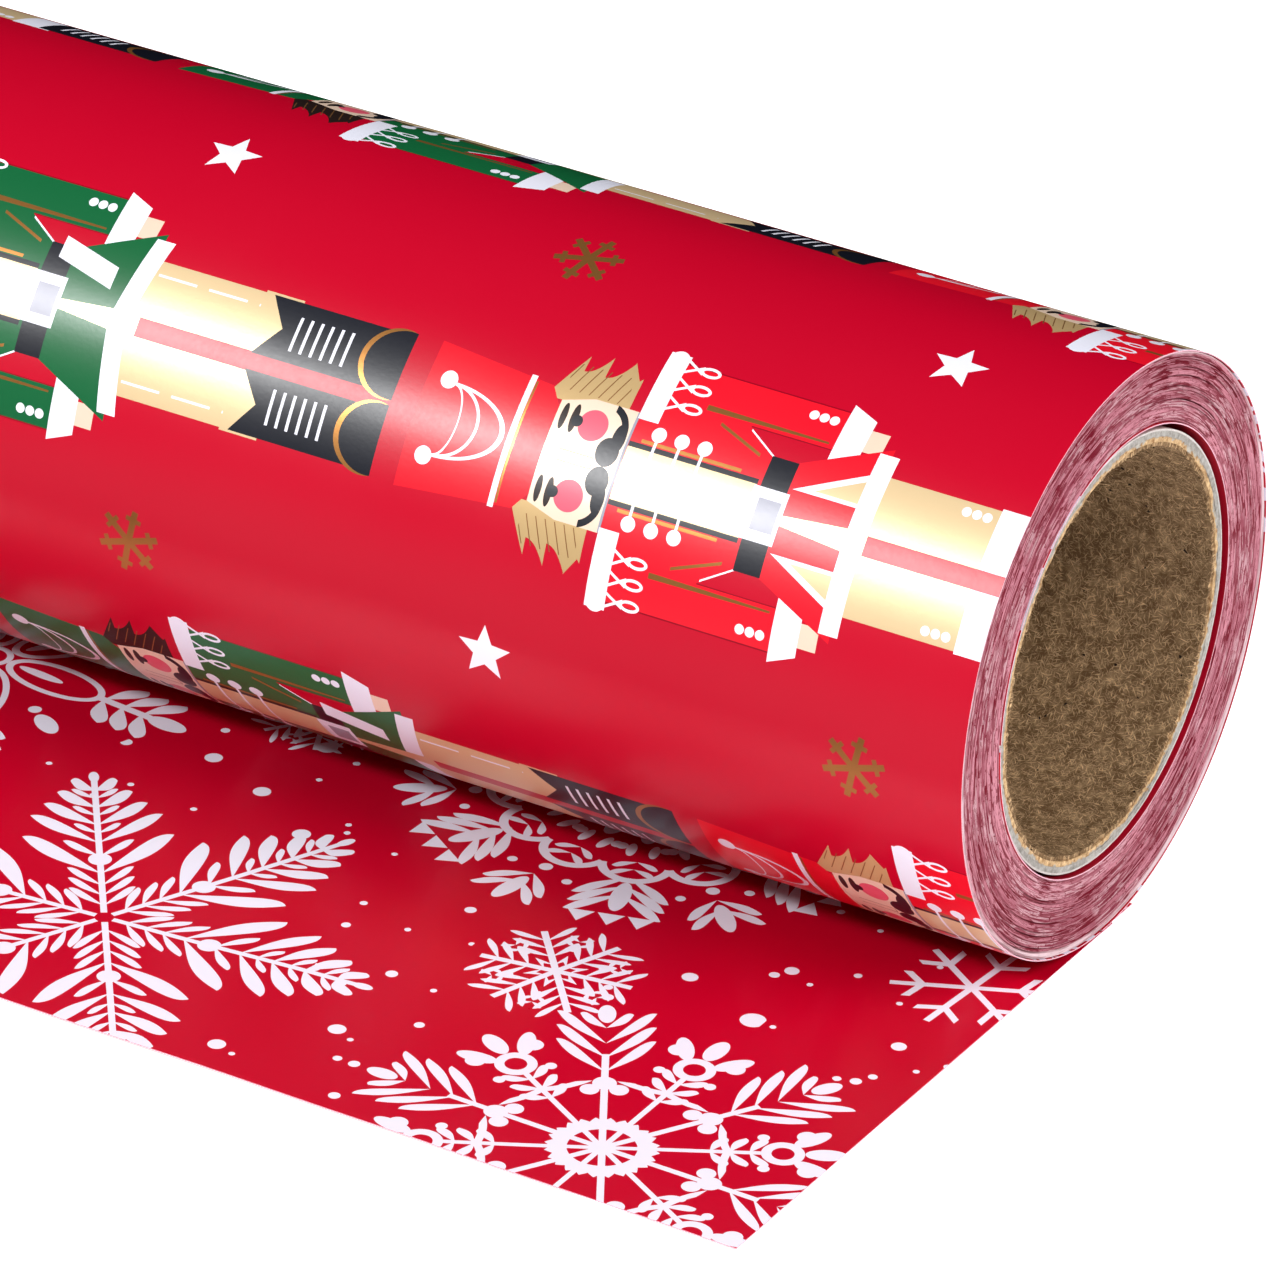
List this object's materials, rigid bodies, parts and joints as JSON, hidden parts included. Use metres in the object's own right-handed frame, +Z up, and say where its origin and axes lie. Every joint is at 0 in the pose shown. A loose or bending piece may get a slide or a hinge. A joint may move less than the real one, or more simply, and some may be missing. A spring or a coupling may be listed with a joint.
{
  "type": "gift wrapping paper roll",
  "caption": "Reversible printed gift wrap wound on a chipboard core, with its free end drawn out flat; the roll turns and feeds the sheet, and the sheet's end curls up.",
  "frame": {"origin": "centre of the core's bore, at the middle of the roll's length", "axes": "+X along the roll, +Z up, and the free sheet leaves the roll's lowest line towards -Y"},
  "size_m": [0.432, 0.0859, 0.0524],
  "materials": {
    "kraft_liner": "matt brown kraft paper",
    "chipboard": "matt grey chipboard",
    "face_ply": "matt pale paper",
    "paper_tape": "satin tape",
    "printed_paper": "satin-gloss print on both sides",
    "wound_edges": "matt cut paper edges"
  },
  "bodies": {
    "laid_web": {"web_reserve": "printed_paper"},
    "roll": {"core_liner": "kraft_liner", "core_board_inner": "chipboard", "core_board_outer": "chipboard", "core_face": "face_ply", "start_tape": "paper_tape", "first_turn": "printed_paper", "winding": "wound_edges", "outer_turn": "printed_paper"},
    "sheet_1": {"sheet_panel_1": "printed_paper"},
    "sheet_2": {"sheet_panel_2": "printed_paper"},
    "sheet_3": {"sheet_panel_3": "printed_paper"},
    "sheet_4": {"sheet_panel_4": "printed_paper"},
    "sheet_5": {"sheet_panel_5": "printed_paper"},
    "sheet_6": {"sheet_panel_6": "printed_paper"}
  },
  "joints": [
    {"name": "roll_turn", "type": "hinge", "parent": "laid_web", "child": "roll", "pos_m": [0, 0.00045, -0.0005], "axis": [-1, 0, 0], "range_deg": [0, 110]},
    {"name": "sheet_pull", "type": "slide", "parent": "laid_web", "child": "sheet_1", "axis": [0, -1, 0], "range_m": [0, 0.05]},
    {"name": "sheet_curl", "type": "hinge", "parent": "sheet_1", "child": "sheet_2", "pos_m": [0, -0.01155, -0.0267], "axis": [-1, 0, 0], "range_deg": [0, 20]},
    {"name": "sheet_curl_2", "type": "hinge", "parent": "sheet_2", "child": "sheet_3", "pos_m": [0, -0.02155, -0.0267], "axis": [-1, 0, 0], "range_deg": [0, 20]},
    {"name": "sheet_curl_3", "type": "hinge", "parent": "sheet_3", "child": "sheet_4", "pos_m": [0, -0.03155, -0.0267], "axis": [-1, 0, 0], "range_deg": [0, 20]},
    {"name": "sheet_curl_4", "type": "hinge", "parent": "sheet_4", "child": "sheet_5", "pos_m": [0, -0.04155, -0.0267], "axis": [-1, 0, 0], "range_deg": [0, 20]},
    {"name": "sheet_curl_5", "type": "hinge", "parent": "sheet_5", "child": "sheet_6", "pos_m": [0, -0.05155, -0.0267], "axis": [-1, 0, 0], "range_deg": [0, 20]}
  ],
  "couplings": [
    {"joint": "sheet_pull", "follows": "roll_turn", "m_per_rad": 0.026},
    {"joint": "sheet_curl_2", "follows": "sheet_curl", "ratio": 1},
    {"joint": "sheet_curl_3", "follows": "sheet_curl", "ratio": 1},
    {"joint": "sheet_curl_4", "follows": "sheet_curl", "ratio": 1},
    {"joint": "sheet_curl_5", "follows": "sheet_curl", "ratio": 1}
  ]
}
